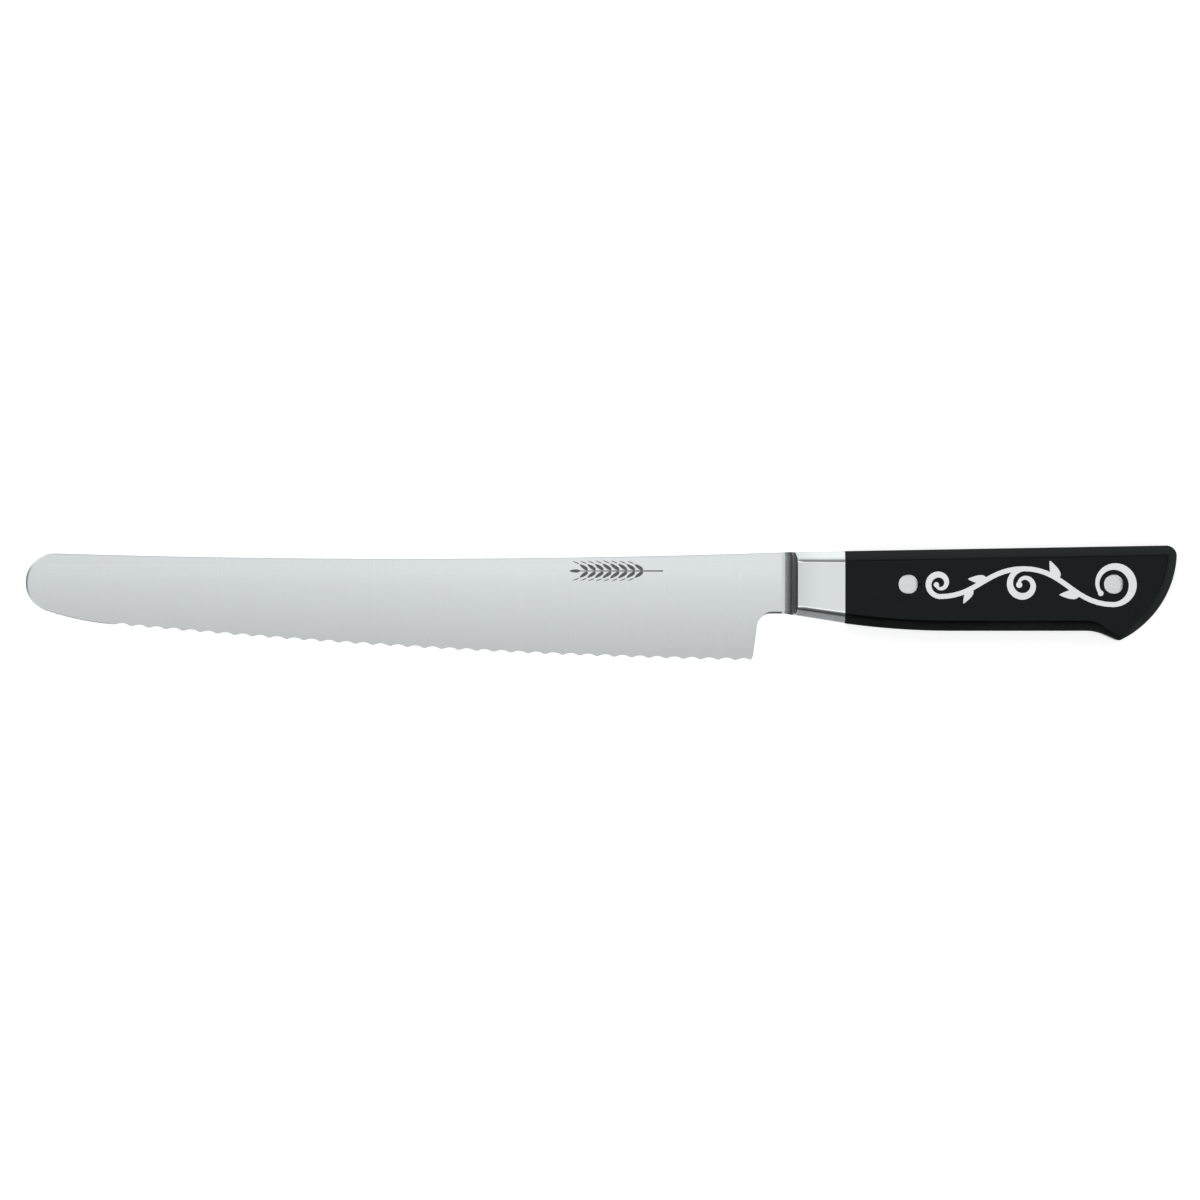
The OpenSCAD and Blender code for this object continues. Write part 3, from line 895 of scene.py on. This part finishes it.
def build_floor():
    """A plain white floor that glows a little, as a lit sweep does."""
    just_under = -0.00005
    bpy.ops.mesh.primitive_plane_add(size=12, location=(0, 0, just_under))
    floor = bpy.context.object
    floor.name = "floor"
    material, nodes, links, bsdf = shader("floor", (0.9, 0.9, 0.9), 0.0, 0.9, 0.1)
    tint = stretched_noise(nodes, links, (3, 3, 3), detail=2.0)
    links.new(blended(nodes, links, tint, (0.88, 0.88, 0.88), (0.92, 0.92, 0.92)), bsdf.inputs["Base Color"])
    bsdf.inputs["Emission Color"].default_value = (1, 1, 1, 1)
    bsdf.inputs["Emission Strength"].default_value = 0.6
    floor.data.materials.append(material)


def area_light(name, location, target, width, height, radiance):
    """A soft box, in metres, whose face has the given radiance, so that metal shows it at that level."""
    data = bpy.data.lights.new(name, "AREA")
    data.shape = "RECTANGLE"
    data.size = width
    data.size_y = height
    data.energy = radiance * math.pi * width * height
    obj = bpy.data.objects.new(name, data)
    obj.location = location
    obj.rotation_euler = (Vector(target) - Vector(location)).to_track_quat("-Z", "Y").to_euler()
    obj.visible_camera = False
    bpy.context.scene.collection.objects.link(obj)


def light_scene():
    """A large soft box overhead, a low panel beyond the spine and a soft box at each corner.

    The dark gaps between the boxes give the bolster's rounded edges their dark lines.
    """
    area_light("overhead", (0, 0, 2.85), (0, 0, 0), 2.1, 2.2, 1.0)
    area_light("back_panel", (0, 2.4, 0.5), (0, 0, 0.1), 3.6, 1.0, 0.4)
    for end, x in (("nose", -2.1), ("butt", 2.1)):
        for side, y in (("edge", -1.9), ("spine", 1.9)):
            area_light(f"{end}_{side}_corner", (x, y, 2.8), (0, 0, 0), 1.6, 3.0, 1.3)


def build_world():
    """A dim room with a white backdrop that only the camera sees.

    x, y and z are the parts of a direction's unit vector, so z is 0 at the horizon and 1 overhead. A pale
    wall beyond the spine and the butt fades out upwards. On the nose's side a glow grows with height. A
    low pale band runs along the horizon, but for the part that lies straight past the nose.
    """
    world = bpy.data.worlds.new("studio")
    world.use_nodes = True
    nodes = world.node_tree.nodes
    links = world.node_tree.links
    background = nodes["Background"]
    background.inputs["Color"].default_value = (0.97, 0.99, 1.0, 1)
    x, y, z = object_axes(nodes, links, "Generated")
    past_spine_or_butt = ranged(nodes, links, summed(nodes, links, x, y), 0.0, 0.7, -0.5, 0.5)
    fading_up = ranged(nodes, links, z, 1.0, 0.0, 0.3, 0.8)
    wall = product(nodes, links, past_spine_or_butt, fading_up)
    past_nose = ranged(nodes, links, x, 1.0, 0.0, -0.35, -0.1)
    growing_up = ranged(nodes, links, z, 0.04, 0.36, 0.3, 0.92)
    below_top = ranged(nodes, links, z, 1.0, 0.0, 0.93, 0.96)
    glow = product(nodes, links, product(nodes, links, past_nose, growing_up), below_top)
    low_band = ranged(nodes, links, z, 0.24, 0.0, 0.1, 0.2)
    not_straight_past_nose = ranged(nodes, links, x, 0.0, 1.0, -0.9, -0.6)
    horizon = product(nodes, links, low_band, not_straight_past_nose)
    light = summed(nodes, links, summed(nodes, links, wall, glow), horizon)
    base_light = 0.03
    lit = ranged(nodes, links, light, base_light, base_light + 1.0, 0.0, 1.0)
    rays = nodes.new("ShaderNodeLightPath")
    links.new(summed(nodes, links, lit, rays.outputs["Is Camera Ray"]), background.inputs["Strength"])
    bpy.context.scene.world = world


def build_camera():
    """A long lens square above the knife, so far away that the picture is FRAME_WIDTH wide."""
    data = bpy.data.cameras.new("camera")
    data.lens = 200
    data.sensor_width = 36
    data.clip_start = 0.05
    data.clip_end = 20
    camera = bpy.data.objects.new("camera", data)
    camera.location = place(FRAME_X, FRAME_Y, FRAME_WIDTH * data.lens / data.sensor_width)
    bpy.context.scene.collection.objects.link(camera)
    bpy.context.scene.camera = camera


build_floor()
light_scene()
build_world()
build_camera()
bpy.context.scene.view_settings.view_transform = "Standard"
